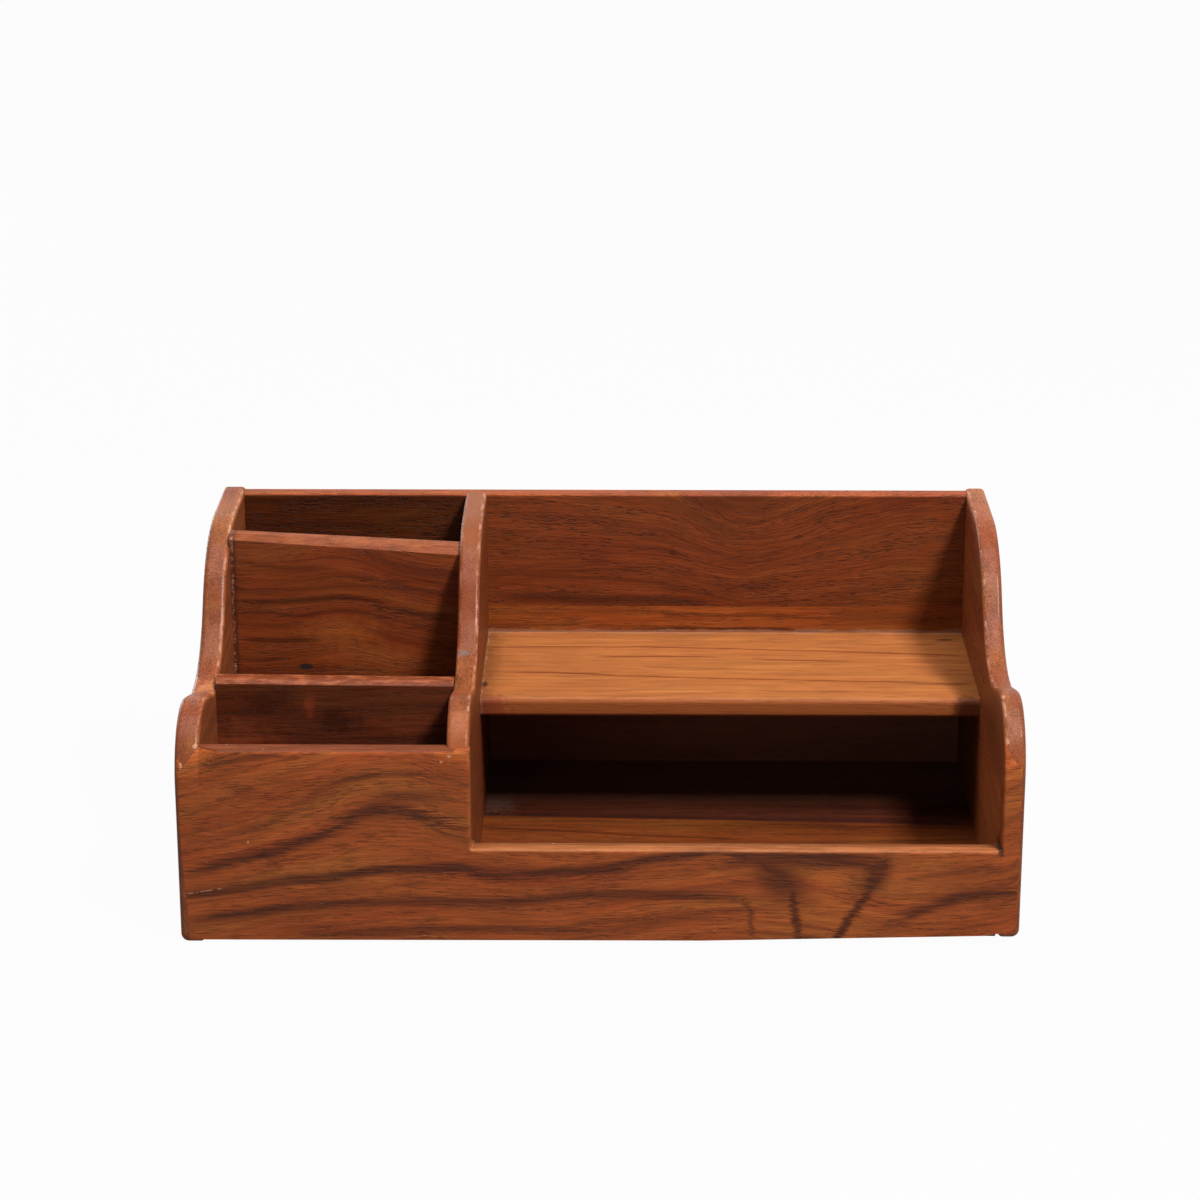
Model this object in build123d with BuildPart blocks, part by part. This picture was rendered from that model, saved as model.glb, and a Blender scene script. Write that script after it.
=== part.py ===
from build123d import *
from math import atan2, cos, sqrt, tan
import os

# Wooden desk organizer: a narrow pen bay with two cross boards beside a wide bay with a shelf
os.makedirs("parts", exist_ok=True)

# Overall size in millimetres
width = 406.0
depth = 228.0
height = 162.5

# Board thicknesses
left_side_thickness = 11.8
right_side_thickness = 10.4
divider_thickness = 11.2
front_thickness = 11.0
back_thickness = 9.5
floor_thickness = 10.0
shelf_thickness = 10.0
slot_board_thickness = 10.0

# Scroll-sawn edge of the sides and the centre divider: corners before rounding,
# measured back from the front face and up from the table
nose_height = 123.0
brow_setback = 56.0
brow_height = 107.6
saddle_setback = 68.0
saddle_height = 103.8
sweep_setback = 106.5
sweep_height = 107.0
shoulder_setback = 144.5
nose_radius = 32.5
brow_radius = 8.0
saddle_radius = 20.0
sweep_radius = 56.0
shoulder_radius = 63.0

# The three boards were sawn one by one, so each nose stands at its own height
left_nose_rise = 0.0
divider_nose_rise = 2.4
right_nose_rise = 5.0

# The right side was cut short at the foot and stands clear of the table
right_side_foot_rise = 3.8

# Softened edges
scroll_edge_radius = 2.4
base_corner_radius = 4.0
board_edge_radius = 1.6
shelf_nose_radius = 3.0
shelf_under_radius = 2.0

# Pen bay
pen_bay_width = 118.1
rear_slot_board_setback = 148.0
rear_slot_board_left_height = 160.2
rear_slot_board_right_height = 154.2
rear_slot_bevel_left = 2.3
rear_slot_bevel_right = 4.1
rear_slot_bevel_run = 5.0
front_slot_board_setback = 74.0
front_slot_board_left_height = 108.2
front_slot_board_right_height = 107.0
front_slot_bevel = 1.6
front_slot_bevel_run = 3.0

# Wide bay
shelf_top_height = 84.2
shelf_setback = 115.3

# Back and floor, each edge-glued or laid from two boards
back_top_height = 161.7
back_joint_height = 99.0
floor_joint_left_setback = 145.0
floor_joint_right_setback = 127.5

# Front panel: the ends taper in the rabbets, and the seams under the noses run down outward
panel_top_height = 99.5
rail_height = 49.0
notch_corner_radius = 1.5
panel_left_lip = 0.9
panel_left_foot_lip = 4.8
panel_left_taper_height = 67.0
panel_left_ear_height = 94.5
panel_left_seam_lip = 4.6
panel_left_seam_height = 91.2
panel_right_lip = 1.7
panel_right_tab_height = 105.2
panel_right_ear_height = 95.0
panel_right_seam_lip = 2.9
panel_right_seam_height = 92.5
panel_right_seam_bulge = 1.2
panel_bottom_left_height = 1.5
panel_bottom_bend_inset = 153.0
panel_bottom_bend_height = 1.9
panel_bottom_heel_inset = 18.0
panel_bottom_heel_height = 4.9
panel_bottom_right_height = 7.4
panel_bottom_corner_radius = 5.0
panel_blend_run = 9.0
panel_front_edge_radius = 1.5
panel_rear_edge_radius = 2.4

# Slack for telling coincident faces and edges apart
tolerance = 0.01

# Faces that several boards share
front_face = -depth / 2
rear_face = depth / 2
left_face = -width / 2
right_face = width / 2
left_inner = left_face + left_side_thickness
right_inner = right_face - right_side_thickness
divider_left = left_inner + pen_bay_width
divider_right = divider_left + divider_thickness
panel_rear = front_face + front_thickness
back_front = rear_face - back_thickness
front_plane = Plane.XZ.offset(-front_face)


def board_plane(x):
    """Upright plane at x whose sketch axes run back from the front face and up from the table."""
    return Plane(origin=(x, front_face, 0), x_dir=(0, 1, 0), z_dir=(1, 0, 0))


def scroll_outline(nose_rise, length):
    """Outline of a side or the divider: nose, saddle, sweep up to the shoulder, flat top."""
    with BuildSketch() as outline:
        with BuildLine():
            scroll = FilletPolyline(
                (0, 0),
                (0, nose_height + nose_rise),
                (brow_setback, brow_height + nose_rise),
                (saddle_setback, saddle_height + nose_rise),
                (sweep_setback, sweep_height + nose_rise / 2),
                (shoulder_setback, height),
                (length, height),
                radius=[nose_radius, brow_radius, saddle_radius, sweep_radius, shoulder_radius],
            )
            Polyline(scroll @ 1, (length, 0), (0, 0))
        make_face()
    return outline.sketch


def panel_outline():
    """Front view of the front panel, with its tapered left end and the open notch."""
    left_foot = (left_face + panel_left_foot_lip, panel_bottom_left_height)
    right_foot = (right_face - panel_right_lip, panel_bottom_right_height)
    left_end = left_face + panel_left_lip
    right_ear = (right_face - panel_right_lip, panel_right_ear_height)
    right_seam = (right_face - panel_right_seam_lip, panel_right_seam_height)
    tab_corner = (right_inner, panel_right_tab_height)
    with BuildSketch() as outline:
        with BuildLine():
            Polyline(
                right_seam,
                right_ear,
                right_foot,
                (right_face - panel_bottom_heel_inset, panel_bottom_heel_height),
                (right_face - panel_bottom_bend_inset, panel_bottom_bend_height),
                left_foot,
                (left_end, panel_left_taper_height),
                (left_end, panel_left_ear_height),
                (left_face + panel_left_seam_lip, panel_left_seam_height),
                (left_inner, panel_top_height),
                (divider_right, panel_top_height),
                (divider_right, rail_height),
                (right_inner, rail_height),
                tab_corner,
            )
            SagittaArc(tab_corner, right_seam, -panel_right_seam_bulge)
        make_face()
        notch_corners = outline.vertices().filter_by(lambda v: abs(v.Y - rail_height) < tolerance)
        fillet(notch_corners, radius=notch_corner_radius)
        low_corners = outline.vertices().filter_by(lambda v: v.Y < rail_height / 2)
        fillet(low_corners.sort_by(Axis.X)[-1], radius=panel_bottom_corner_radius)
    return outline.sketch


def scroll_edges(part, x):
    """Edges of a scroll board's face at x, from the front round to the flat top."""
    on_face = part.edges().filter_by(lambda e: abs(e.center().X - x) < tolerance)
    free = on_face.filter_by(lambda e: e.center().Z > floor_thickness)
    return free.filter_by(lambda e: e.center().Y < back_front)


def side_blank(x, thickness, nose_rise, foot_rise, outer_face):
    """A side before its rabbet is cut: only the edges of its outer face are softened."""
    with BuildPart() as blank:
        with BuildSketch(board_plane(x)):
            add(scroll_outline(nose_rise, depth))
            with Locations((depth / 2, 0)):
                Rectangle(depth, 2 * foot_rise, mode=Mode.SUBTRACT)
        extrude(amount=thickness)
        base_edges = blank.edges().filter_by(Axis.Y).group_by(Axis.Z)[0]
        fillet(base_edges.sort_by_distance((outer_face, 0, 0))[0], radius=base_corner_radius)
        fillet(scroll_edges(blank, outer_face), radius=scroll_edge_radius)
    return blank.part


left_blank = side_blank(left_face, left_side_thickness, left_nose_rise, 0, left_face)
right_blank = side_blank(
    right_inner, right_side_thickness, right_nose_rise, right_side_foot_rise, right_face
)

# Left side: scroll-sawn board with a stopped rabbet for the end of the front panel
with BuildPart() as left_side:
    add(left_blank)
    fillet(scroll_edges(left_side, left_inner), radius=scroll_edge_radius)
    with BuildSketch(front_plane):
        add(panel_outline())
    extrude(amount=-front_thickness, mode=Mode.SUBTRACT)
left_side.part.label = "left_side"
export_step(left_side.part, "parts/left_side.step")

# Right side: the same board with a taller nose, rabbeted for the tab of the front panel
with BuildPart() as right_side:
    add(right_blank)
    fillet(scroll_edges(right_side, right_inner), radius=scroll_edge_radius)
    with BuildSketch(front_plane):
        add(panel_outline())
    extrude(amount=-front_thickness, mode=Mode.SUBTRACT)
right_side.part.label = "right_side"
export_step(right_side.part, "parts/right_side.step")

# Centre divider: stands on the floor, notched over the front panel, its nose flush with the panel
with BuildPart() as centre_divider:
    with BuildSketch(board_plane(divider_left)):
        add(scroll_outline(divider_nose_rise, depth - back_thickness))
    extrude(amount=divider_thickness)
    fillet(scroll_edges(centre_divider, divider_left), radius=scroll_edge_radius)
    fillet(scroll_edges(centre_divider, divider_right), radius=scroll_edge_radius)
    with BuildSketch(front_plane):
        with Locations((0, panel_top_height / 2)):
            Rectangle(width, panel_top_height)
    extrude(amount=-front_thickness, mode=Mode.SUBTRACT)
    with BuildSketch():
        Rectangle(width, depth)
    extrude(amount=floor_thickness, mode=Mode.SUBTRACT)
centre_divider.part.label = "centre_divider"
export_step(centre_divider.part, "parts/centre_divider.step")


def nose_spandrel(nose_rise):
    """End view of the wood between the panel's flat front and the nose curve of a side."""
    fall = atan2(nose_height - brow_height, brow_setback)
    centre_height = nose_height + nose_rise - nose_radius * (tan(fall) + 1 / cos(fall))
    rise_to_top = panel_top_height - centre_height
    inset = nose_radius - sqrt(nose_radius**2 - rise_to_top**2)
    with BuildSketch() as section:
        with BuildLine():
            Polyline((0, centre_height), (0, panel_top_height), (inset, panel_top_height))
            RadiusArc((inset, panel_top_height), (0, centre_height), -nose_radius)
        make_face()
    return section.sketch


def edge_spandrel(setback, top, radius, inward):
    """End view of the wood that rounding an edge takes off.

    inward is 1 at a front edge and -1 at a rear edge.
    """
    with BuildSketch() as section:
        with Locations((setback + inward * radius / 2, top - radius / 2)):
            Rectangle(radius, radius)
        with Locations((setback + inward * radius, top - radius)):
            Circle(radius, mode=Mode.SUBTRACT)
    return section.sketch


# Front panel: one board, full height across the pen bay, low rail and end tab across the wide bay
blend_end = left_inner + panel_blend_run
rail_left = divider_right + notch_corner_radius
rail_right = right_inner - notch_corner_radius
with BuildPart() as front_panel:
    add([left_blank, right_blank])
    with BuildSketch():
        with Locations(((left_inner + right_inner) / 2, (front_face + panel_rear) / 2)):
            Rectangle(right_inner - left_inner, front_thickness)
    extrude(amount=height)
    with BuildSketch(front_plane):
        add(panel_outline())
    extrude(amount=-front_thickness, mode=Mode.INTERSECT)
    front_edges = front_panel.edges().filter_by(lambda e: e.center().Y < front_face + tolerance)
    above_rail = front_edges.filter_by(lambda e: e.center().Z > rail_height - tolerance)
    right_of_divider = above_rail.filter_by(lambda e: e.center().X > divider_right - tolerance)
    notch_edges = right_of_divider.filter_by(lambda e: e.center().X < right_inner + tolerance)
    fillet(notch_edges, radius=panel_front_edge_radius)
    with BuildSketch(board_plane(blend_end)):
        add(edge_spandrel(0, panel_top_height, panel_front_edge_radius, 1))
    extrude(amount=divider_right - blend_end, mode=Mode.SUBTRACT)
    loft(
        [
            board_plane(left_inner) * nose_spandrel(left_nose_rise).face(),
            board_plane(blend_end) * edge_spandrel(0, panel_top_height, panel_front_edge_radius, 1).face(),
        ],
        mode=Mode.SUBTRACT,
    )
    with BuildSketch(board_plane(left_inner)):
        add(edge_spandrel(front_thickness, panel_top_height, panel_rear_edge_radius, -1))
    extrude(amount=pen_bay_width, mode=Mode.SUBTRACT)
    with BuildSketch(board_plane(rail_left)):
        add(edge_spandrel(front_thickness, rail_height, panel_rear_edge_radius, -1))
    extrude(amount=rail_right - rail_left, mode=Mode.SUBTRACT)
front_panel.part.label = "front_panel"
export_step(front_panel.part, "parts/front_panel.step")

# Back: two boards edge-glued between the sides
with BuildPart() as back_lower_board:
    with BuildSketch(Plane.XZ.offset(-back_front)):
        with Locations(((left_inner + right_inner) / 2, back_joint_height / 2)):
            Rectangle(right_inner - left_inner, back_joint_height)
    extrude(amount=-back_thickness)
back_lower_board.part.label = "back_lower_board"
export_step(back_lower_board.part, "parts/back_lower_board.step")

with BuildPart() as back_upper_board:
    with BuildSketch(Plane.XZ.offset(-back_front)):
        with Locations(((left_inner + right_inner) / 2, (back_joint_height + back_top_height) / 2)):
            Rectangle(right_inner - left_inner, back_top_height - back_joint_height)
    extrude(amount=-back_thickness)
    fillet(back_upper_board.edges().filter_by(Axis.X).group_by(Axis.Z)[-1], radius=board_edge_radius)
back_upper_board.part.label = "back_upper_board"
export_step(back_upper_board.part, "parts/back_upper_board.step")

# Floor: two boards laid side by side, meeting along a joint that runs a little askew
joint_left = (left_inner, front_face + floor_joint_left_setback)
joint_right = (right_inner, front_face + floor_joint_right_setback)
with BuildPart() as floor_front_board:
    with BuildSketch():
        with BuildLine():
            Polyline(
                (left_inner, panel_rear),
                (right_inner, panel_rear),
                joint_right,
                joint_left,
                close=True,
            )
        make_face()
    extrude(amount=floor_thickness)
floor_front_board.part.label = "floor_front_board"
export_step(floor_front_board.part, "parts/floor_front_board.step")

with BuildPart() as floor_rear_board:
    with BuildSketch():
        with BuildLine():
            Polyline(
                joint_left,
                joint_right,
                (right_inner, back_front),
                (left_inner, back_front),
                close=True,
            )
        make_face()
    extrude(amount=floor_thickness)
floor_rear_board.part.label = "floor_rear_board"
export_step(floor_rear_board.part, "parts/floor_rear_board.step")

# Shelf: glued between the divider, the right side and the back, with a rounded front edge
shelf_front = front_face + shelf_setback
shelf_bottom_height = shelf_top_height - shelf_thickness
with BuildPart() as shelf:
    with BuildSketch(Plane.XY.offset(shelf_bottom_height)):
        with Locations(((divider_right + right_inner) / 2, (shelf_front + back_front) / 2)):
            Rectangle(right_inner - divider_right, back_front - shelf_front)
    extrude(amount=shelf_thickness)
    upper_edges = shelf.edges().filter_by(Axis.X).group_by(Axis.Z)[-1]
    fillet(upper_edges.sort_by(Axis.Y)[0], radius=shelf_nose_radius)
    lower_edges = shelf.edges().filter_by(Axis.X).group_by(Axis.Z)[0]
    fillet(lower_edges.sort_by(Axis.Y)[0], radius=shelf_under_radius)
shelf.part.label = "shelf"
export_step(shelf.part, "parts/shelf.step")


def cross_board(setback, left_height, right_height, left_bevel, right_bevel, bevel_run):
    """A pen bay cross board: its top edge falls to the right and its front arris is planed off."""
    with BuildPart() as board:
        with BuildSketch(front_plane.offset(-setback)):
            with BuildLine():
                Polyline(
                    (divider_left, floor_thickness),
                    (divider_left, right_height),
                    (left_inner, left_height),
                    (left_inner, floor_thickness),
                    close=True,
                )
            make_face()
        extrude(amount=-slot_board_thickness)
        with BuildSketch(board_plane(left_inner)) as left_section:
            with BuildLine():
                Polyline(
                    (setback, left_height - left_bevel),
                    (setback, left_height),
                    (setback + bevel_run, left_height),
                    close=True,
                )
            make_face()
        with BuildSketch(board_plane(divider_left)) as right_section:
            with BuildLine():
                Polyline(
                    (setback, right_height - right_bevel),
                    (setback, right_height),
                    (setback + bevel_run, right_height),
                    close=True,
                )
            make_face()
        loft(mode=Mode.SUBTRACT)
    return board.part


# Cross boards of the pen bay: they stand on the floor between the left side and the divider
with BuildPart() as rear_slot_board:
    add(
        cross_board(
            rear_slot_board_setback,
            rear_slot_board_left_height,
            rear_slot_board_right_height,
            rear_slot_bevel_left,
            rear_slot_bevel_right,
            rear_slot_bevel_run,
        )
    )
rear_slot_board.part.label = "rear_slot_board"
export_step(rear_slot_board.part, "parts/rear_slot_board.step")

with BuildPart() as front_slot_board:
    add(
        cross_board(
            front_slot_board_setback,
            front_slot_board_left_height,
            front_slot_board_right_height,
            front_slot_bevel,
            front_slot_bevel,
            front_slot_bevel_run,
        )
    )
front_slot_board.part.label = "front_slot_board"
export_step(front_slot_board.part, "parts/front_slot_board.step")
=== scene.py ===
"""Looks of the wooden desk organizer: procedural wood on the CAD boards, light and camera."""
import math

import bpy
from mathutils import Matrix, Vector

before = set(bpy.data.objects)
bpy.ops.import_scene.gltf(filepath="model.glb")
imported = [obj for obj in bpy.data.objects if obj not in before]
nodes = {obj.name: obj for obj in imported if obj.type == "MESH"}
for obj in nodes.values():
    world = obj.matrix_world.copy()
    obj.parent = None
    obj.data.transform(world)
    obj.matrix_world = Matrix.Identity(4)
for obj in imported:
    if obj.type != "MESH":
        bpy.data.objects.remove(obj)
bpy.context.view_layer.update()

MM = 0.001
X, Y, Z = 0, 1, 2
NO_ZERO = 1e-6  # keeps the height of a level curve from being 0

# Camera, from a perspective fit to the board edges in the photograph: its place in metres,
# its angles in degrees, its lens and sensor in millimetres
CAMERA_PLACE = (0.0156, -1.5860, 0.6701)
CAMERA_YAW = -0.594
CAMERA_PITCH = 18.563
CAMERA_ROLL = -0.028
CAMERA_LENS = 99.62
SENSOR_WIDTH = 36.0

# Lights: directions towards them, distances and sizes in metres, powers in watts.
# The key is a long strip that runs from the front towards overhead.
KEY_DIRECTION = (0.385, -0.42, 0.82)
KEY_ALONG = (0.168, 0.892, 0.414)
KEY_DISTANCE = 2.2
KEY_LENGTH = 0.9
KEY_WIDTH = 0.3
KEY_POWER = 73.0
TOP_DIRECTION = (0.0, -0.05, 1.0)
TOP_DISTANCE = 1.5
TOP_SIZE = 1.0
TOP_POWER = 20.0
FILL_DIRECTION = (-0.36, -0.92, 0.15)
FILL_DISTANCE = 2.2
FILL_SIZE = 0.9
FILL_POWER = 2.2
REAR_DIRECTION = (-0.62, 0.78, 0.12)
REAR_DISTANCE = 2.2
REAR_SIZE = 0.9
REAR_POWER = 18.0
WORLD_STRENGTH = 0.10
FLOOR_SIZE = 12
FLOOR_GREY = 0.24
FLOOR_WHITENESS = 0.965

# Finish of all the woods
BUMP_DEPTH = 0.12
ROUGHNESS = 0.40
NEEDLE_ROUGHNESS = 0.12
PORE_ROUGHNESS = 0.14
COAT_ROUGHNESS = 0.16
LOWEST_SPECULAR = 0.06

# Red, green and blue of a wood's tones and patches, as shares of its middle colour
PALE = (1.35, 1.5, 1.6)
DARK = (0.22, 0.24, 0.42)
GOLDEN = (1.12, 1.5, 1.35)
RUSSET = (0.92, 0.70, 0.75)

# Grain of all the woods, lengths in millimetres
WANDER = 12.0
TEAR_ALONG = 70.0
TEAR_ACROSS = 2.0
BAND_SHARE = 0.50
LINE_SHARE = 0.46
PORE_SHARE = 0.36
SEED_SHIFT = 37.1

# Faces of the boards, in millimetres
DIVIDER_MIDDLE = -67.5
DIVIDER_RIGHT = -61.9
BACK_FACE = 104.5
RIGHT_SIDE_FACE = 192.6
SHELF_FRONT = 1.3
PANEL_FACE = -114
REAR_SLOT_FACE = 34
FRONT_SLOT_FACE = -40


def linear(red, green, blue):
    """An sRGB colour given as 0 to 255, as the linear values that shaders use."""
    out = []
    for value in (red, green, blue):
        c = value / 255
        out.append(c / 12.92 if c <= 0.04045 else ((c + 0.055) / 1.055) ** 2.4)
    return (*out, 1.0)


class Graph:
    """A material's node tree, with short calls for the nodes that the woods use."""

    def __init__(self, name):
        self.material = bpy.data.materials.new(name)
        self.material.use_nodes = True
        self.tree = self.material.node_tree
        self.tree.nodes.clear()
        self.output = self.tree.nodes.new("ShaderNodeOutputMaterial")

    def put(self, socket, value):
        """Links a socket, or sets a plain value."""
        if isinstance(value, bpy.types.NodeSocket):
            self.tree.links.new(value, socket)
        else:
            socket.default_value = value

    def math(self, operation, *values):
        node = self.tree.nodes.new("ShaderNodeMath")
        node.operation = operation
        for socket, value in zip(node.inputs, values):
            self.put(socket, value)
        return node.outputs[0]

    def add(self, a, b):
        return self.math("ADD", a, b)

    def sub(self, a, b):
        return self.math("SUBTRACT", a, b)

    def mul(self, a, b):
        return self.math("MULTIPLY", a, b)

    def step(self, value, low, high):
        """Smooth rise from 0 at low to 1 at high; a high below low gives a fall."""
        node = self.tree.nodes.new("ShaderNodeMapRange")
        node.interpolation_type = "SMOOTHSTEP"
        flip = high < low
        self.put(node.inputs["Value"], value)
        node.inputs["From Min"].default_value = min(low, high)
        node.inputs["From Max"].default_value = max(low, high)
        node.inputs["To Min"].default_value = 1.0 if flip else 0.0
        node.inputs["To Max"].default_value = 0.0 if flip else 1.0
        return node.outputs[0]

    def coordinates(self):
        """The row frame's X, Y and Z in millimetres."""
        coords = self.tree.nodes.new("ShaderNodeTexCoord")
        split = self.tree.nodes.new("ShaderNodeSeparateXYZ")
        self.put(split.inputs[0], coords.outputs["Object"])
        return [self.mul(axis, 1 / MM) for axis in split.outputs]

    def vector(self, x, y, z):
        node = self.tree.nodes.new("ShaderNodeCombineXYZ")
        for socket, value in zip(node.inputs, (x, y, z)):
            self.put(socket, value)
        return node.outputs[0]

    def noise(self, point, sizes, detail=2.0, roughness=0.5, seed=0.0):
        """Noise from about 0 to 1 whose cells are sizes long along each axis, in millimetres."""
        axes = [self.mul(self.add(p, seed * SEED_SHIFT), 1 / s) for p, s in zip(point, sizes)]
        node = self.tree.nodes.new("ShaderNodeTexNoise")
        self.put(node.inputs["Vector"], self.vector(*axes))
        node.inputs["Scale"].default_value = 1.0
        node.inputs["Detail"].default_value = detail
        node.inputs["Roughness"].default_value = roughness
        return node.outputs["Fac"]

    def swing(self, point, sizes, detail, roughness, seed, width):
        """Noise around 0 that is about width wide from end to end."""
        return self.mul(self.sub(self.noise(point, sizes, detail, roughness, seed), 0.5), width)

    def patches(self, point, sizes, detail, roughness, seed, low, high):
        """Random patches: 0 where their noise is below low, 1 where it is above high."""
        return self.step(self.noise(point, sizes, detail, roughness, seed), low, high)

    def curve(self, value, points):
        """A smooth function of value through the given (value, result) points."""
        xs = [p[0] for p in points]
        ys = [p[1] for p in points]
        low, high = min(xs), max(xs)
        base, top = min(ys), max(ys) + NO_ZERO
        node = self.tree.nodes.new("ShaderNodeFloatCurve")
        line = node.mapping.curves[0]
        line.points[0].location = (0.0, (ys[0] - base) / (top - base))
        line.points[1].location = (1.0, (ys[-1] - base) / (top - base))
        for x, y in points[1:-1]:
            line.points.new((x - low) / (high - low), (y - base) / (top - base))
        node.mapping.update()
        self.put(node.inputs["Value"], self.mul(self.sub(value, low), 1 / (high - low)))
        return self.add(self.mul(node.outputs[0], top - base), base)

    def mix(self, amount, a, b, blend="MIX"):
        node = self.tree.nodes.new("ShaderNodeMix")
        node.data_type = "RGBA"
        node.blend_type = blend
        self.put(node.inputs["Factor"], amount)
        self.put(node.inputs[6], a)
        self.put(node.inputs[7], b)
        return node.outputs[2]

    def tint(self, colour, amount, strength, target):
        """The colour, changed by strength towards another colour where amount is 1."""
        return self.mix(self.mul(amount, strength), colour, target)

    def lighten(self, colour, amount, factor):
        """The colour, multiplied by a factor where amount is 1."""
        scale = self.add(1.0, self.mul(amount, factor - 1.0))
        return self.mix(1.0, colour, self.vector(scale, scale, scale), "MULTIPLY")

    def bell(self, value, width):
        """1 where value is 0, falling to 0 at width."""
        ratio = self.mul(value, 1 / width)
        return self.step(self.math("ABSOLUTE", ratio), 1.0, 0.0)

    def most(self, *values):
        """The highest of the values."""
        out = values[0]
        for value in values[1:]:
            out = self.math("MAXIMUM", out, value)
        return out

    def spot(self, where, centre, radii, seed, ragged=0.7, core=0.6):
        """1 inside a blot around a point, 0 outside; core is the full part of its radius."""
        terms = [self.mul(self.sub(axis, c), 1 / r) for axis, c, r in zip(where, centre, radii)]
        total = self.mul(terms[0], terms[0])
        for term in terms[1:]:
            total = self.add(total, self.mul(term, term))
        grain = max(0.8, min(radii) / 2)
        edge = self.swing(where, [grain] * 3, 2.0, 0.6, seed, ragged * 2)
        return self.step(self.add(self.math("SQRT", total), edge), 1.0, core)

    def shade(self, colour, roughness, height, gloss):
        """Satin finish over the given colour, with the height given in units of BUMP_DEPTH."""
        shader = self.tree.nodes.new("ShaderNodeBsdfPrincipled")
        bump = self.tree.nodes.new("ShaderNodeBump")
        bump.inputs["Strength"].default_value = 1.0
        bump.inputs["Distance"].default_value = BUMP_DEPTH * MM
        self.put(bump.inputs["Height"], height)
        self.put(shader.inputs["Base Color"], colour)
        self.put(shader.inputs["Roughness"], roughness)
        self.put(shader.inputs["Normal"], bump.outputs[0])
        shader.inputs["Specular IOR Level"].default_value = LOWEST_SPECULAR + gloss
        shader.inputs["Coat Weight"].default_value = gloss
        shader.inputs["Coat Roughness"].default_value = COAT_ROUGHNESS
        self.put(self.output.inputs["Surface"], shader.outputs[0])
        return self.material


def scaled(colour, shares):
    """A linear colour with its red, green and blue multiplied by three shares."""
    return (*(value * share for value, share in zip(colour, shares)), 1.0)


def tones(red, green, blue):
    """Pale, middle and dark tone of a wood, around its middle sRGB colour."""
    mid = linear(red, green, blue)
    return scaled(mid, PALE), mid, scaled(mid, DARK)


def with_dark(colours, red, green, blue):
    """The same tones with a different dark one."""
    return colours[0], colours[1], linear(red, green, blue)


def hue_patches(g, colour, mid, grain, seed, hues):
    """Yellow and reddish patches in the wood's colour."""
    hue = g.noise(grain, (110, 13, 13), 2.0, 0.5, seed)
    colour = g.tint(colour, g.step(hue, 0.50, 0.68), hues, scaled(mid, GOLDEN))
    return g.tint(colour, g.step(hue, 0.46, 0.30), hues, scaled(mid, RUSSET))


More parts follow.
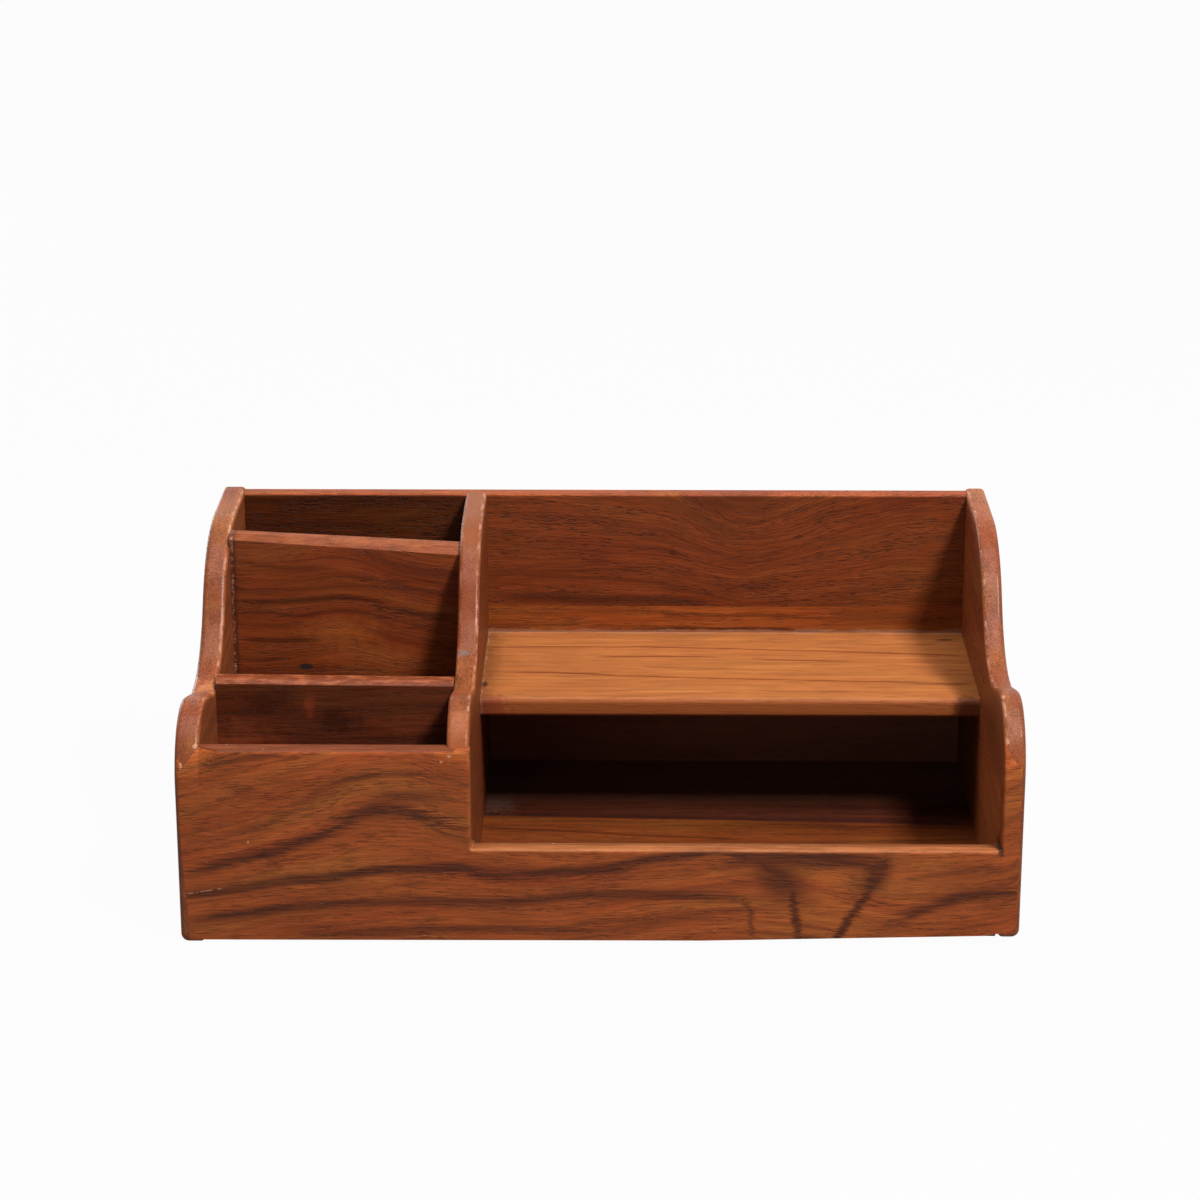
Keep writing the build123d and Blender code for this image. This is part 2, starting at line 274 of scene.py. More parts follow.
def wood(
    name, along, across, colours, seed, figure=None, marks=None, band=9.0, contrast=1.0,
    gloss=0.03, grit=0.0, follow=0.8, length=18.0, depth=1.0, hues=0.6,
):
    """Wood whose grain runs along one axis.

    colours are the pale, middle and dark tones; figure returns a bend of the growth
    lines in millimetres and extra dark bands, which on the rear floor board are painted shade;
    marks paints stains, dust and wear, and on some boards painted light, shade and glints,
    on the finished colour; band and contrast are the width and strength of the random
    growth bands; grit is the share of fine dust in the finish; follow is how much the fibres
    and pores bend with the growth lines; length and depth are the fibres' length and contrast;
    hues is the strength of the yellow and reddish patches.
    """
    pale, mid, dark = colours
    g = Graph(name)
    where = g.coordinates()
    thick = 3 - along - across
    u, v, w = where[along], where[across], where[thick]
    bend, bands = 0.0, 0.0
    if figure:
        bend, bands = figure(g, where)

    # Growth lines, which wander; fibres and pores, which follow them in part
    wander = g.swing((u, g.sub(v, bend), w), (150, 40, 40), 2.0, 0.5, seed, WANDER)
    bend = g.sub(bend, wander)
    fibre = g.sub(v, g.mul(bend, follow))
    v = g.sub(v, bend)
    needles = g.noise((u, fibre, w), (length, 0.6, 0.6), 2.0, 0.6, seed + 3)
    tear = g.sub(needles, 0.5)
    torn = (g.add(u, g.mul(tear, TEAR_ALONG)), g.add(v, g.mul(tear, TEAR_ACROSS)), w)
    broad = g.noise(torn, (150, band, band), 3.0, 0.6, seed + 1)
    fine = g.noise(torn, (80, 1.5, 1.5), 2.0, 0.6, seed + 2)
    cloud = g.noise((u, v, w), (50, 24, 24), 3.0, 0.6, seed + 4)
    pores = g.noise((u, fibre, w), (length / 3, 0.42, 0.42), 1.0, 0.5, seed + 5)
    clumps = g.swing((u, v, w), (40, 5, 5), 1.0, 0.5, seed + 6, 0.45)
    pore = g.step(g.add(pores, clumps), 0.57, 0.68)
    needle = g.step(needles, 0.36, 0.64)

    # Share of the dark tone: random bands, fine lines and the figure's own bands
    share = g.mul(g.step(broad, 0.48, 0.68), BAND_SHARE * contrast)
    share = g.add(share, g.mul(g.step(fine, 0.55, 0.69), LINE_SHARE * contrast))
    share = g.math("MAXIMUM", share, bands)
    share = g.mul(share, g.add(0.62, g.mul(needle, 0.55)))
    share = g.math("MINIMUM", share, 1.0)
    colour = g.tint(mid, g.step(broad, 0.47, 0.28), 0.7, pale)
    colour = hue_patches(g, colour, mid, (u, v, w), seed + 9, hues)
    colour = g.mix(share, colour, dark)

    # Light and dark of the fibres, the clouds, the pores and the dust
    light = g.add(0.95 - 0.15 * depth, g.mul(needle, 0.30 * depth))
    light = g.mul(light, g.add(0.78, g.mul(cloud, 0.44)))
    light = g.mul(light, g.sub(1.0, g.mul(pore, PORE_SHARE * depth)))
    if grit:
        dust = g.patches(where, (0.9, 0.9, 0.9), 2.0, 0.7, seed + 8, 0.35, 0.7)
        light = g.mul(light, g.add(1.0 - grit / 2, g.mul(dust, grit)))
    colour = g.mix(1.0, colour, g.vector(light, light, light), "MULTIPLY")
    if marks:
        colour = marks(g, where, colour)

    roughness = g.add(ROUGHNESS, g.mul(needle, NEEDLE_ROUGHNESS))
    roughness = g.add(roughness, g.mul(pore, PORE_ROUGHNESS))
    height = g.sub(g.mul(needles, 0.5), pore)
    return g.shade(colour, roughness, height, gloss)


def streak(g, along, across, points, width, strength, ends=12.0):
    """Dark band that follows a curve, faded at both ends: 0 outside, strength on its line."""
    line = g.curve(along, points)
    low, high = points[0][0], points[-1][0]
    start = g.step(along, low - ends / 3, low + ends)
    inside = g.mul(start, g.step(along, high + ends / 3, high - ends))
    return g.mul(g.mul(g.bell(g.sub(across, line), width), strength), inside)


def streaks(g, along, across, rows):
    """The bands of a table, whose rows hold streak's last arguments."""
    return [streak(g, along, across, *row) for row in rows]


def torn_axes(g, where, along, across, seed, reach, rise):
    """Both coordinates of a board face, torn along the grain so that bands get needle edges."""
    sizes = [8.0, 8.0, 8.0]
    sizes[along] = 26.0
    sizes[across] = 0.75
    fine = g.sub(g.noise(where, sizes, 2.0, 0.65, seed), 0.5)
    sizes[along] = 70.0
    sizes[across] = 16.0
    slow = g.swing(where, sizes, 2.0, 0.5, seed + 1, 6.0)
    a = g.add(where[along], g.mul(fine, reach))
    b = g.add(g.add(where[across], g.mul(fine, rise)), slow)
    return a, b


# Bend of the front panel's growth lines, low down and added higher up
FLOW_LOW = (
    (-203, 24), (-178, 28), (-149, 33), (-101, 38), (-77, 39.5), (-38, 35.5), (0, 39), (39, 45.7),
    (77, 49), (125, 42), (150, 38), (203, 50),
)
FLOW_HIGH = (
    (-203, 0), (-178, 3), (-158, 6), (-129, 12), (-105, 19), (-86, 16), (-60, 8), (203, 8),
)

# Bands of the boards: points of the line, half its width, its strength and the fade at its ends
FRONT_BANDS = (
    (
        (
            (-204, 24), (-178, 28), (-149, 33), (-125, 35), (-101, 38.4), (-77, 39.5),
            (-57, 37.5),
        ),
        4.0, 1.0,
    ),
    (
        (
            (-70, 39), (-38, 36), (-19, 37.7), (0, 38.8), (24, 43.6), (39, 45.7), (58, 48.4),
            (84, 49.5),
        ),
        5.0, 0.8,
    ),
    (
        (
            (-200, 35), (-178, 42), (-158, 47.6), (-144, 52.8), (-129, 58), (-119, 64),
            (-105, 68.5), (-86, 67), (-72, 62), (-60, 56),
        ),
        5.5, 0.8,
    ),
    (((-132, 59), (-119, 65), (-105, 70), (-84, 68)), 9.0, 0.8),
    (
        (
            (-200, 11), (-179, 14.5), (-150, 18.3), (-116, 21.6), (-82, 23.3), (-48, 22.4),
            (-19, 24.6), (0, 25.7), (48, 25), (72, 25),
        ),
        5.0, 0.7,
    ),
    (((-148, 4), (-97, 6), (-48, 8), (4, 7)), 4.5, 0.6),
    (
        ((-178, 56), (-158, 64), (-143, 73), (-133, 80), (-119, 86), (-95, 88), (-74, 85)),
        3.5, 0.55,
    ),
    (((-112, 77), (-68, 77)), 7.0, 0.5),
    (((-192, 89), (-176, 94), (-150, 97)), 3.0, 0.6),
    (((-185, 84), (-160, 74)), 6.0, 0.4),
    (((-20, 9), (30, 13), (70, 10)), 3.0, 0.4),
    (((58, 45), (100, 44.5), (140, 43.5)), 8.0, 0.9, 8.0),
    (((136, 8), (155, 17.5), (178, 25), (204, 27.6)), 6.0, 0.75),
    (((146, 32), (170, 38), (196, 40)), 3.5, 0.45),
)

# Upright legs of the flame in the rail, as lines over the height
FLAME_BANDS = (
    (((-2, 97), (5.6, 96.3), (23.5, 93.3), (30.8, 92), (38, 83), (48, 72)), 3.6, 1.0, 5.0),
    (((20, 92), (28, 90), (38, 85), (50, 78)), 22.0, 0.7, 10.0),
    (((-2, 113), (6.8, 116.8), (23.6, 127), (36.7, 135), (47, 138.5)), 4.0, 0.95, 4.0),
    (((24, 128), (37, 133), (50, 136)), 12.0, 0.8, 10.0),
    (((3, 74), (17, 72.5), (26, 69)), 2.5, 0.6, 3.0),
)


def front_figure(g, where):
    """Flowing dark bands of the front panel, and the dark flame in its rail."""
    x, z = where[X], where[Z]
    bend = g.add(g.curve(x, FLOW_LOW), g.mul(g.curve(x, FLOW_HIGH), g.step(z, 25, 80)))
    torn_x, torn_z = torn_axes(g, where, X, Z, 61, 46.0, 7.0)
    flame_x = g.add(x, g.swing(where, (12, 12, 0.7), 3.0, 0.7, 63, 11.0))
    flows = streaks(g, torn_x, torn_z, FRONT_BANDS)
    legs = streaks(g, z, flame_x, FLAME_BANDS)
    return bend, g.math("MINIMUM", g.mul(g.most(*flows, *legs), 1.3), 1.0)


def front_marks(g, where, colour):
    """Painted light on a top strip, tops of panel and rail, flame's eye, pale specks, gap."""
    x, y, z = where
    # Painted light: the top strip of the panel is made lighter, as where more light falls
    colour = g.lighten(colour, g.step(g.add(z, g.mul(x, 0.02)), 84, 96), 1.22)

    wear_and_glint_patches = g.patches(where, (30, 3, 3), 3.0, 0.6, 69, 0.35, 0.65)
    panel = g.mul(g.step(x, -68, -70), g.step(x, -194, -192))
    top = g.mul(g.step(z, 98.4, 99.3), panel)
    colour = g.tint(colour, top, 0.9, g.mix(wear_and_glint_patches, linear(78, 36, 16), linear(104, 50, 26)))
    opening = g.mul(g.step(x, -62.5, -61.5), g.step(x, RIGHT_SIDE_FACE, 192))
    rail = g.mul(g.step(z, 47.9, 48.8), opening)
    colour = g.tint(colour, rail, 0.85, g.mix(wear_and_glint_patches, linear(122, 68, 36), linear(146, 90, 52)))
    colour = g.lighten(colour, g.mul(rail, g.step(y, -109.5, -106.5)), 0.62)

    eye = g.spot(where, (112, PANEL_FACE, 35), (15, 30, 7), 59, 0.5, 0.0)
    colour = g.tint(colour, eye, 0.55, linear(164, 84, 38))

    broken = g.patches(where, (3, 3, 3), 1.0, 0.5, 70, 0.42, 0.56)
    line = g.bell(g.sub(z, g.add(59.2, g.mul(x, 0.169))), 0.5)
    specks = g.most(
        g.mul(g.mul(line, g.step(x, -181.5, -183)), broken),
        g.patches(where, (2.6, 2.0, 0.5), 0.0, 0.5, 71, 0.84, 0.88),
        g.spot(where, (-168.7, PANEL_FACE, 52.7), (0.7, 3, 0.7), 72),
        g.spot(where, (-75.3, PANEL_FACE, 94.2), (1.0, 3, 0.7), 73),
        g.spot(where, (-71.5, PANEL_FACE, 97.0), (1.1, 3, 0.9), 74),
        g.spot(where, (-199.8, -112, 92.0), (0.8, 9, 3.0), 75),
    )
    colour = g.tint(colour, specks, 0.42, linear(214, 160, 130))
    # Painted shade: a dark blot where the gap at the rail's right end lies in shadow
    gap = g.spot(where, (RIGHT_SIDE_FACE, -108, 48.5), (2.0, 12, 4.0), 68)
    return g.tint(colour, gap, 0.85, linear(44, 26, 20))


# Wide V of the upper back board: its shape across and its depth over the height
BACK_SHAPE = (
    (-61, 1.05), (-34, 1.0), (9, 0.9), (25, 0.85), (48, 0.5), (62, 0.18), (75, 0.0), (90, 0.12),
    (104, 0.32), (120, 0.62), (142, 0.82), (160, 1.0), (193, 1.1),
)
BACK_SCALE = ((99, 5.0), (117, 10.5), (147, 22), (162, 27))
BACK_BANDS = (
    (((-64, 103.3), (-29, 103.5), (2, 102.0), (60, 100)), 5.0, 0.75, 24.0),
    (((-56, 117.5), (-25, 115.3), (4, 114), (45, 108), (73, 103)), 2.6, 0.5, 20.0),
    (((100, 103), (119, 105.5), (150, 111), (191, 119)), 4.5, 0.3, 24.0),
    (((46, 152), (70, 158), (96, 152)), 12.0, 0.45),
)


def back_figure(g, where):
    """Growth lines of the upper back board, in a wide V, with a dark streak over its joint."""
    across = g.math("MAXIMUM", where[X], BACK_SHAPE[0][0])
    bend = g.mul(g.curve(across, BACK_SHAPE), g.curve(where[Z], BACK_SCALE))
    x, z = torn_axes(g, where, X, Z, 65, 40.0, 2.5)
    return bend, g.most(*streaks(g, x, z, BACK_BANDS))


def pen_bay(g, x):
    """1 left of the divider, 0 right of it."""
    return g.step(x, DIVIDER_MIDDLE + 1.0, DIVIDER_MIDDLE)


def back_inside(g, y):
    """1 on the inner face of the back boards, 0 on their outer face."""
    return g.step(y, BACK_FACE + 2.5, BACK_FACE + 1.0)


def back_marks(g, where, colour):
    """Painted shade on the back board in the pen bay, darker than in the open bay; lighter top
    edge.
    """
    x, y, z = where
    # Painted shade: the back board is darker behind the divider, in the pen bay
    bay = g.mul(pen_bay(g, x), g.step(z, 160.9, 160.3))
    colour = g.lighten(colour, g.mul(bay, back_inside(g, y)), 0.42)
    return g.lighten(colour, g.step(z, 160.5, 161.1), 1.6)


LOWER_BACK_BANDS = (
    (((-40, 96.5), (30, 95.5), (90, 93.5), (192, 92)), 1.6, 0.5),
    (((20, 86.5), (60, 86.0), (118, 85.0)), 1.4, 1.0),
    (((120, 96), (192, 90)), 9.0, 0.5),
)


def lower_back_figure(g, where):
    """Dark lines of the strip that shows over the shelf."""
    x, z = torn_axes(g, where, X, Z, 67, 40.0, 2.0)
    return 0.0, g.most(*streaks(g, x, z, LOWER_BACK_BANDS))


def lower_back_marks(g, where, colour):
    """Painted shade in the pen bay, a painted grey veil of shade under the shelf, and grey dust
    over it.
    """
    x, y, z = where
    inside = back_inside(g, y)
    under = g.mul(g.step(z, 80, 76), inside)
    # Painted shade: the board is darker in the pen bay
    colour = g.lighten(colour, g.mul(pen_bay(g, x), inside), 0.45)
    # Painted shade tone: a grey veil that stands in for the dim light under the shelf
    colour = g.tint(colour, under, 0.6, linear(136, 96, 78))
    ragged = g.swing(where, (9, 9, 2), 2.0, 0.6, 76, 4.0)
    dust = g.mul(g.step(g.add(z, ragged), 86.4, 85.0), g.step(z, 80, 84))
    return g.tint(colour, g.mul(dust, inside), 0.5, linear(140, 104, 84))


SHELF_BANDS = (
    (((-62, 79), (-2, 81), (51, 78.9), (131, 73.3), (193, 67)), 1.6, 1.0),
    (((-50, 39.5), (-22, 39.1), (20, 34.9), (51, 32.1), (102, 29.5), (193, 23.5)), 1.6, 1.0),
    (((-4, 64.4), (41, 64.6), (60, 63.5)), 1.6, 1.0),
    (((78, 61.5), (104, 59.5), (135, 58.8)), 1.4, 1.0),
    (((150, 57.5), (180, 56.0)), 1.0, 0.5),
    (((20, 48), (70, 46), (110, 44)), 1.2, 0.5),
    (((-48, 12), (50, 14), (153, 12)), 1.2, 0.3),
)


def shelf_figure(g, where):
    """Thin reddish growth lines of the pale shelf."""
    x, y = torn_axes(g, where, X, Y, 69, 20.0, 1.6)
    return 0.0, g.most(*streaks(g, x, y, SHELF_BANDS))


def shelf_marks(g, where, colour):
    """Front edge with painted shade, darker left end, painted shadow at right, stains at left,
    joint dust.
    """
    x, y, z = where
    # Front edge made darker and redder: the darkening is painted shade, with more of it on the
    # lower half
    colour = g.tint(colour, g.step(y, 3.4, 1.8), 0.7, linear(122, 60, 26))
    colour = g.lighten(colour, g.mul(g.step(z, 79, 75), g.step(y, 3.4, 1.8)), 0.8)
    ragged = g.swing(where, (4, 9, 4), 2.0, 0.6, 77, 9.0)
    colour = g.lighten(colour, g.step(g.add(x, ragged), -50, -61), 0.62)

    # Painted shadow: the right side's shadow on the right end of the front edge
    tint = g.spot(where, (186, SHELF_FRONT, 79.5), (8.5, 9, 7), 78)
    colour = g.tint(colour, tint, 0.6, linear(76, 34, 22))
    tint = g.spot(where, (-55, SHELF_FRONT, 79.5), (10, 9, 6), 79, 1.2)
    colour = g.tint(colour, tint, 0.6, linear(112, 46, 28))
    dark_line = g.most(
        g.spot(where, (182.5, 93.0, 84.2), (6.0, 1.6, 3), 80),
        g.spot(where, (-60.6, 22.0, 84.2), (1.8, 5.0, 3), 81, 1.2),
    )
    colour = g.tint(colour, dark_line, 0.85, linear(46, 26, 22))

    ragged = g.swing(where, (9, 9, 9), 2.0, 0.6, 82, 7.0)
    from_corner = g.math("ABSOLUTE", g.mul(g.sub(x, 190), 1.2))
    dust = g.most(
        g.step(g.add(y, ragged), 101.5, 104),
        g.step(g.sub(g.add(y, ragged), from_corner), 96, 102),
        g.mul(g.step(g.add(x, g.mul(ragged, 0.4)), -60.4, -61.6), 0.9),
    )
    patchy = g.patches(where, (22, 9, 9), 2.0, 0.6, 84, 0.34, 0.6)
    return g.tint(colour, g.mul(dust, patchy), 0.5, linear(140, 106, 86))


FLOOR_BANDS = (
    (((-62, 8.2), (-40, 6.2), (-22, 5.3), (25, -2.3), (75, -7.2)), 2.4, 0.8),
    (((40, 14), (100, 9), (188, 4)), 2.0, 0.45),
    (((-60, 20), (0, 15), (60, 10)), 1.4, 0.3),
)
# Painted shade: where the shelf's shadow falls on the rear floor board
REAR_FLOOR_SHADE_BANDS = ((((-70, 26.5), (60, 21.5), (193, 15.5)), 7.0, 0.8),)


def floor_figure(g, where):
    """Dark wavy lines of the front floor board."""
    x, y = torn_axes(g, where, X, Y, 83, 20.0, 1.6)
    return 0.0, g.most(*streaks(g, x, y, FLOOR_BANDS))


def rear_floor_shade_strip(g, where):
    """Painted shade: a darker strip of the rear floor board beside its slanted joint."""
    x, y = torn_axes(g, where, X, Y, 85, 20.0, 2.0)
    return 0.0, g.most(*streaks(g, x, y, REAR_FLOOR_SHADE_BANDS))


def rear_floor_marks(g, where, colour):
    """Painted grey veil of the shade deep in the bay, and grey dust in the corner beside the
    divider.
    """
    # Painted shade tone: a grey veil for the dim light deep in the bay
    colour = g.tint(colour, g.step(where[Y], 38, 80), 0.6, linear(138, 106, 88))
    dust = g.spot(where, (-55, 43, 10), (12, 22, 5), 86, 0.8, 0.0)
    return g.tint(colour, dust, 0.4, linear(112, 90, 80))


REAR_SLOT_BEND = (
    (-191, 0), (-169, -0.5), (-153, 1), (-135, 3), (-122, 1.5), (-107, -4), (-73, -10),
)
REAR_SLOT_BANDS = (
    (
        (
            (-191, 124.9), (-169, 124.4), (-153, 125.6), (-135, 127.3), (-122, 126.2),
            (-107, 120.3), (-74, 114.9),
        ),
        3.0, 0.85,
    ),
    (
        (
            (-191, 118.9), (-174, 119.0), (-153, 116.9), (-135, 120.2), (-116, 117.5),
            (-97, 112.1), (-80, 108),
        ),
        2.4, 0.7,
    ),
    (
        (
            (-190, 105.3), (-168, 103.7), (-154, 103.8), (-136, 106.0), (-128, 102.7),
            (-117, 100.0),
        ),
        3.0, 0.8,
    ),
    (((-184, 91.6), (-172, 92.7), (-160, 94.4)), 2.0, 0.8),
    (((-138, 139.2), (-116, 136.5), (-96, 131.2), (-76, 128.5)), 2.4, 0.7),
    (((-188, 147.1), (-160, 143.4), (-140, 144.6)), 3.2, 0.6),
    (((-188, 131), (-150, 132), (-128, 133.5), (-90, 124)), 2.0, 0.45),
)


def rear_slot_figure(g, where):
    """Dark flame of the rear slot board."""
    x, z = torn_axes(g, where, X, Z, 87, 30.0, 3.0)
    bend = g.mul(g.curve(where[X], REAR_SLOT_BEND), g.step(where[Z], 60, 115))
    return bend, g.most(*streaks(g, x, z, REAR_SLOT_BANDS))


def rear_slot_marks(g, where, colour):
    """Orange heart of the flame, lighter top edge, dark knot, and dusty joint at the left side."""
    x, z = where[X], where[Z]
    heart = g.spot(where, (-136, REAR_SLOT_FACE, 108), (30, 12, 12), 88, 0.5, 0.0)
    colour = g.tint(colour, heart, 0.45, linear(158, 84, 34))
    low = g.spot(where, (-118, REAR_SLOT_FACE, 96), (40, 12, 10), 188, 0.5, 0.0)
    colour = g.tint(colour, low, 0.3, linear(140, 74, 34))

    over_edge = g.sub(z, g.add(155.2, g.mul(g.add(x, 74), -0.04)))
    wear_and_glint_patches = g.patches(where, (16, 4, 2), 3.0, 0.65, 189, 0.38, 0.62)
    top = g.mix(wear_and_glint_patches, linear(104, 50, 22), linear(132, 70, 34))
    colour = g.tint(colour, g.step(over_edge, -5.0, -1.0), 0.8, top)

    knot = g.spot(where, (-153.7, REAR_SLOT_FACE, 89.2), (4.4, 6, 2.1), 89, 0.5)
    colour = g.mix(knot, colour, linear(40, 28, 26))
    joint = g.bell(g.sub(x, -190.2), 1.3)
    dots = g.patches(where, (2, 2, 2.2), 2.0, 0.7, 90, 0.45, 0.62)
    colour = g.tint(colour, g.bell(g.sub(x, -189.4), 2.4), 0.7, linear(50, 24, 18))
    return g.tint(colour, g.mul(joint, dots), 0.6, linear(168, 120, 98))


def front_slot_marks(g, where, colour):
    """Dark stain with a reddish swirl, paler parts low down, and the lighter top edge."""
    pale = g.spot(where, (-180, FRONT_SLOT_FACE, 74), (36, 12, 20), 91, 0.6, 0.0)
    colour = g.lighten(colour, pale, 1.9)
    pale = g.spot(where, (-98, FRONT_SLOT_FACE, 84), (30, 12, 9), 92, 0.6, 0.0)
    colour = g.lighten(colour, pale, 1.6)
    left = g.spot(where, (-164, FRONT_SLOT_FACE, 97), (22, 12, 9), 93, 0.6, 0.0)
    right = g.spot(where, (-132, FRONT_SLOT_FACE, 87), (18, 12, 11), 94, 0.6, 0.0)
    colour = g.lighten(colour, g.most(left, right), 0.5)
    swirl = g.spot(where, (-145, FRONT_SLOT_FACE, 95), (4.5, 12, 10), 95, 0.6, 0.0)
    colour = g.tint(colour, swirl, 0.6, linear(126, 52, 28))
    wear_and_glint_patches = g.patches(where, (9, 3, 2), 3.0, 0.7, 190, 0.42, 0.64)
    top = g.mix(wear_and_glint_patches, linear(98, 44, 20), linear(140, 76, 46))
    return g.tint(colour, g.step(where[Z], 105.2, 106.6), 0.85, top)


# Pale colour of a residue spot and of the painted glints on noses and edges
RESIDUE_AND_GLINT = linear(206, 156, 130)


def side_marks(g, where, colour):
    """Painted light and shade on the right inner face, filler, shade in a gap, residue, painted
    glints.
    """
    x, y, z = where
    # Painted light: the right side's inner face is lighter than the rest of the board
    inner = g.mul(g.step(x, RIGHT_SIDE_FACE + 0.8, RIGHT_SIDE_FACE + 0.3), g.step(x, 0, 1))
    colour = g.lighten(colour, inner, 1.25)
    # In the lower bay it is painted lighter still, and painted shade darkens it under the shelf
    bay = g.mul(inner, g.step(z, 84, 70))
    colour = g.lighten(colour, bay, 1.75)
    colour = g.lighten(colour, g.mul(bay, g.step(y, -26, 20)), 0.22)

    pale = g.spot(where, (-197, FRONT_SLOT_FACE, 104), (9, 14, 9), 96, 1.4, 0.0)
    colour = g.tint(colour, pale, 0.5, linear(186, 116, 74))
    # Painted shade: a dark blot where the gap at the rail joint lies in shadow
    rail_joint_shade = g.spot(where, (RIGHT_SIDE_FACE, -101, 48.5), (3, 7, 4.6), 97)
    colour = g.tint(colour, rail_joint_shade, 0.9, linear(40, 24, 20))

    # A pale residue spot on the left nose and painted glints on the right nose
    residue_and_glints = g.most(
        g.spot(where, (-193.2, -108, 99.5), (1.6, 3, 1.2), 98),
        g.spot(where, (194, -107, 103), (1.6, 3, 2.0), 99),
        g.spot(where, (194, -85, 117.5), (1.2, 2, 1.6), 100),
    )
    # Painted highlights along the edges of the noses, broken into patches
    wear_and_glint_patches = g.patches(where, (2.5, 9, 9), 3.0, 0.65, 103, 0.44, 0.66)
    arris_glints = g.most(g.bell(g.sub(x, 193.9), 1.1), g.bell(g.add(x, 192.4), 1.1))
    arris_glints = g.mul(arris_glints, g.step(z, 98, 112))
    colour = g.tint(colour, g.most(residue_and_glints, g.mul(arris_glints, wear_and_glint_patches)), 0.4, RESIDUE_AND_GLINT)
    return g.lighten(colour, g.step(z, 158, 161.5), 1.15)


def divider_marks(g, where, colour):
    """Pale nose and top, painted shade and edge glints, a grey filler patch, and dust along the
    shelf.
    """
    x, y, z = where
    nose = g.mul(g.step(y, -92, -96), g.step(x, DIVIDER_RIGHT - 0.3, DIVIDER_RIGHT - 1.1))
    colour = g.tint(colour, nose, 0.7, linear(132, 70, 34))
    # Painted shade: the rising slope of the profile is darker and redder
    shaded_slope = g.mul(g.step(z, 110, 120), g.step(z, 156, 148))
    colour = g.tint(colour, shaded_slope, 0.5, linear(104, 46, 18))
    colour = g.tint(colour, g.step(z, 150, 160), 0.8, linear(114, 62, 32))

    # Painted highlights along the edges, broken into patches
    wear_and_glint_patches = g.patches(where, (2.5, 9, 9), 3.0, 0.65, 104, 0.44, 0.66)
    arris_glints = g.most(g.bell(g.add(x, 63.2), 1.1), g.mul(g.bell(g.add(x, 71.8), 1.1), 0.6))
    arris_glints = g.mul(g.mul(arris_glints, wear_and_glint_patches), g.step(z, 100, 112))
    colour = g.tint(colour, arris_glints, 0.4, RESIDUE_AND_GLINT)
    filler = g.spot(where, (-69.8, -12, 113.0), (4.0, 3, 1.6), 101)
    colour = g.tint(colour, filler, 0.8, linear(96, 74, 64))

    # Painted shade: the right face is darker than the rest of the board
    right_face = g.step(x, DIVIDER_RIGHT - 0.7, DIVIDER_RIGHT - 0.1)
    colour = g.lighten(colour, right_face, 0.75)
    joint = g.mul(right_face, g.mul(g.bell(g.sub(z, 84.8), 1.6), g.step(y, -2, 2)))
    dots = g.patches(where, (3, 4, 3), 2.0, 0.7, 102, 0.42, 0.6)
    return g.tint(colour, g.mul(joint, dots), 0.8, linear(170, 134, 116))


side_wood = wood(
    "side_wood", Y, Z, tones(118, 59, 29), 6, None, side_marks,
    contrast=0.4, gloss=0.07, grit=0.35,
)

WOODS = {
    "left_side": side_wood,
    "right_side": side_wood,
    "centre_divider": wood(
        "divider_wood", Y, Z, tones(115, 54, 24), 7, None, divider_marks,
        contrast=0.45, gloss=0.06, grit=0.3,
    ),
    "front_panel": wood(
        "front_wood", X, Z, tones(140, 68, 31), 1, front_figure, front_marks,
        band=8.0, contrast=0.8, follow=0.3, depth=1.15,
    ),
    "back_lower_board": wood(
        "lower_back_wood", X, Z, tones(125, 59, 22), 12, lower_back_figure, lower_back_marks,
        band=6.0, contrast=0.8,
    ),
    "back_upper_board": wood(
        "upper_back_wood", X, Z, tones(105, 47, 19), 2, back_figure, back_marks,
        band=6.0, contrast=0.6, depth=1.3, hues=0.4,
    ),
    "floor_front_board": wood("front_floor_wood", X, Y, tones(98, 45, 16), 3, floor_figure),
    # Rear floor board: its tone is painted darker than the front board's, as the shelf's shade
    "floor_rear_board": wood(
        "rear_floor_wood", X, Y, tones(83, 39, 24), 13, rear_floor_shade_strip, rear_floor_marks,
    ),
    "shelf": wood(
        "shelf_wood", X, Y, with_dark(tones(144, 84, 43), 96, 42, 18), 4, shelf_figure, shelf_marks,
        band=6.0, contrast=0.25, length=50.0, depth=0.6, hues=0.15,
    ),
    "rear_slot_board": wood(
        "rear_slot_wood", X, Z, tones(113, 49, 20), 5, rear_slot_figure, rear_slot_marks,
    ),
    "front_slot_board": wood(
        "front_slot_wood", X, Z, tones(80, 34, 16), 8, None, front_slot_marks,
    ),
}

for name, board in nodes.items():
    board.data.materials.clear()
    board.data.materials.append(WOODS[name])
    board.data.shade_smooth()
    edges = board.modifiers.new("keep_flats", "WEIGHTED_NORMAL")
    edges.keep_sharp = True


def area_light(name, direction, distance, length, width, power, along=(1, 0, 0)):
    """Adds a softbox that faces the origin from a direction, its length turned along a vector."""
    lamp = bpy.data.lights.new(name, "AREA")
    lamp.shape = "RECTANGLE"
    lamp.size = width
    lamp.size_y = length
    lamp.energy = power
    obj = bpy.data.objects.new(name, lamp)
    bpy.context.scene.collection.objects.link(obj)
    back = Vector(direction).normalized()
    side = Vector(along).cross(back).normalized()
    turn = Matrix((side, back.cross(side), back)).transposed()
    obj.matrix_world = Matrix.Translation(back * distance) @ turn.to_4x4()


area_light("key", KEY_DIRECTION, KEY_DISTANCE, KEY_LENGTH, KEY_WIDTH, KEY_POWER, KEY_ALONG)
area_light("top", TOP_DIRECTION, TOP_DISTANCE, TOP_SIZE, TOP_SIZE, TOP_POWER)
area_light("fill", FILL_DIRECTION, FILL_DISTANCE, FILL_SIZE, FILL_SIZE, FILL_POWER)
area_light("rear", REAR_DIRECTION, REAR_DISTANCE, REAR_SIZE, REAR_SIZE, REAR_POWER)


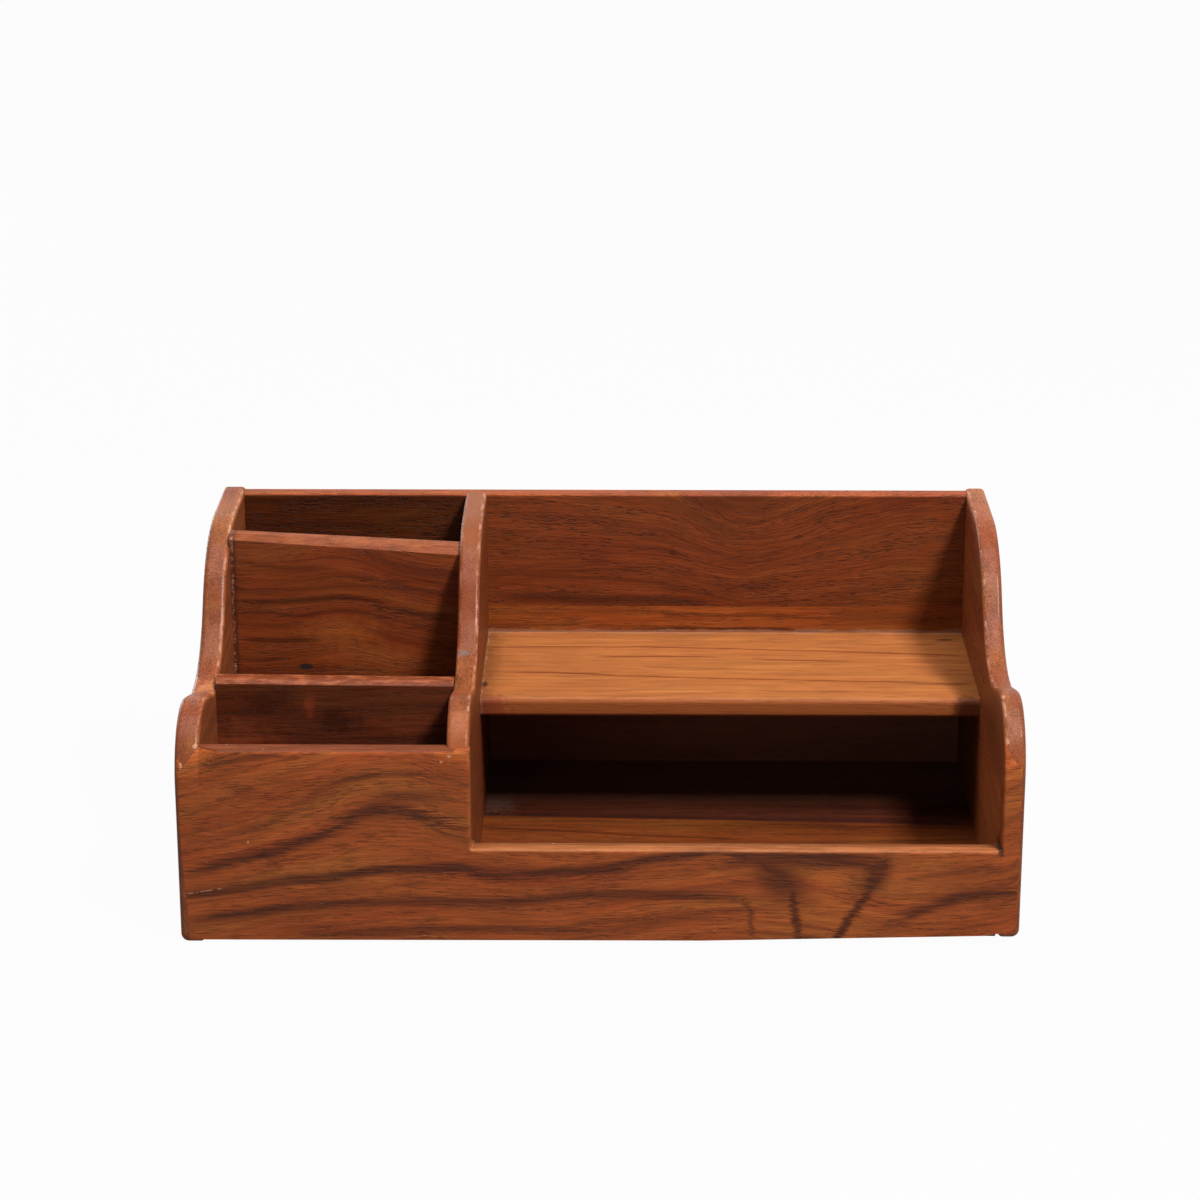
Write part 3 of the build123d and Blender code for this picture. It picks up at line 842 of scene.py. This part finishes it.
def seen_directly(tree):
    """1 for what the camera sees, straight, in a reflection or through glass."""
    path = tree.nodes.new("ShaderNodeLightPath")
    seen = path.outputs["Is Camera Ray"]
    for kind in ("Is Glossy Ray", "Is Transmission Ray"):
        highest = tree.nodes.new("ShaderNodeMath")
        highest.operation = "MAXIMUM"
        tree.links.new(seen, highest.inputs[0])
        tree.links.new(path.outputs[kind], highest.inputs[1])
        seen = highest.outputs[0]
    return seen


def make_world():
    """World: dim light all round, white where it is seen."""
    world = bpy.data.worlds.new("studio")
    bpy.context.scene.world = world
    world.use_nodes = True
    tree = world.node_tree
    background = tree.nodes["Background"]
    background.inputs["Color"].default_value = (1, 1, 1, 1)
    strength = tree.nodes.new("ShaderNodeMapRange")
    strength.inputs["To Min"].default_value = WORLD_STRENGTH
    strength.inputs["To Max"].default_value = 1.0
    tree.links.new(seen_directly(tree), strength.inputs["Value"])
    tree.links.new(strength.outputs[0], background.inputs["Strength"])


def make_floor():
    """Floor: grey for the light that it bounces, but nearly white where it is seen.

    The grey part that still shows there carries the soft shadow of the object.
    """
    material = bpy.data.materials.new("studio_floor")
    material.use_nodes = True
    tree = material.node_tree
    tree.nodes.clear()
    diffuse = tree.nodes.new("ShaderNodeBsdfDiffuse")
    diffuse.inputs["Color"].default_value = (FLOOR_GREY, FLOOR_GREY, FLOOR_GREY, 1)
    glow = tree.nodes.new("ShaderNodeEmission")
    glow.inputs["Strength"].default_value = 1.0
    share = tree.nodes.new("ShaderNodeMath")
    share.operation = "MULTIPLY"
    share.inputs[1].default_value = FLOOR_WHITENESS
    tree.links.new(seen_directly(tree), share.inputs[0])
    blend = tree.nodes.new("ShaderNodeMixShader")
    tree.links.new(share.outputs[0], blend.inputs[0])
    tree.links.new(diffuse.outputs[0], blend.inputs[1])
    tree.links.new(glow.outputs[0], blend.inputs[2])
    surface = tree.nodes.new("ShaderNodeOutputMaterial")
    tree.links.new(blend.outputs[0], surface.inputs["Surface"])
    bpy.ops.mesh.primitive_plane_add(size=FLOOR_SIZE, location=(0, 0, 0))
    plane = bpy.context.object
    plane.name = "studio_floor"
    plane.data.materials.append(material)
    return plane


def make_camera():
    """Camera at the photograph's place and angle."""
    camera = bpy.data.cameras.new("camera")
    camera.lens = CAMERA_LENS
    camera.sensor_width = SENSOR_WIDTH
    obj = bpy.data.objects.new("camera", camera)
    bpy.context.scene.collection.objects.link(obj)
    yaw, pitch, roll = (math.radians(a) for a in (CAMERA_YAW, CAMERA_PITCH, CAMERA_ROLL))
    reach = math.cos(pitch)
    forward = Vector((math.sin(yaw) * reach, math.cos(yaw) * reach, -math.sin(pitch)))
    level_right = Vector((math.cos(yaw), -math.sin(yaw), 0))
    level_up = level_right.cross(forward)
    right = math.cos(roll) * level_right + math.sin(roll) * level_up
    up = right.cross(forward)
    turn = Matrix((right, up, -forward)).transposed()
    obj.matrix_world = Matrix.Translation(CAMERA_PLACE) @ turn.to_4x4()
    bpy.context.scene.camera = obj


make_world()
floor = make_floor()
make_camera()
bpy.context.scene.view_settings.view_transform = "Standard"
